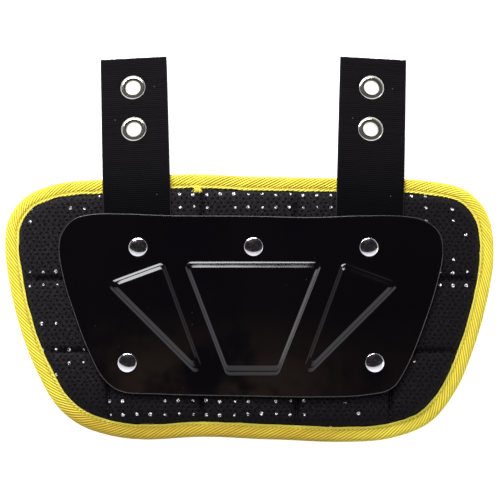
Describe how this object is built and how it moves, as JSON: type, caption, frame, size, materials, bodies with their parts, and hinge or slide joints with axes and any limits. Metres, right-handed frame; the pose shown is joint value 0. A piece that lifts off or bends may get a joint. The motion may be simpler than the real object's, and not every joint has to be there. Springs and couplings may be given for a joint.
{
  "type": "football back plate",
  "caption": "Arched foam pad in black mesh with yellow bound edge, a riveted gloss plate with raised panels, and two webbing hangers with grommets.",
  "frame": {"origin": "under the middle of the whole part's box, on the surface it lies on", "axes": "+X to the wearer's left side as the plate is seen, +Y up the back towards the hangers' free ends, +Z out of the wearer's back, through the plate"},
  "size_m": [0.3684, 0.2918, 0.0307],
  "materials": {
    "mesh_cloth": "black knitted mesh cloth over foam, quilted",
    "binding_tape": "yellow twill tape, stitched",
    "gloss_shell": "black moulded plastic, polished",
    "webbing": "stiff black woven webbing, satin",
    "nickel": "bright nickel plate",
    "washer_steel": "plain steel"
  },
  "bodies": {
    "root": {"pad": "mesh_cloth", "edge_binding": "binding_tape", "hard_plate": "gloss_shell", "rivet_top_left": "nickel", "washer_top_left": "washer_steel", "rivet_top_centre": "nickel", "washer_top_centre": "washer_steel", "rivet_top_right": "nickel", "washer_top_right": "washer_steel", "rivet_lower_left": "nickel", "washer_lower_left": "washer_steel", "rivet_lower_right": "nickel", "washer_lower_right": "washer_steel", "strap_left": "webbing", "grommet_left_upper": "nickel", "grommet_left_lower": "nickel", "strap_right": "webbing", "grommet_right_upper": "nickel", "grommet_right_lower": "nickel"}
  },
  "joints": []
}
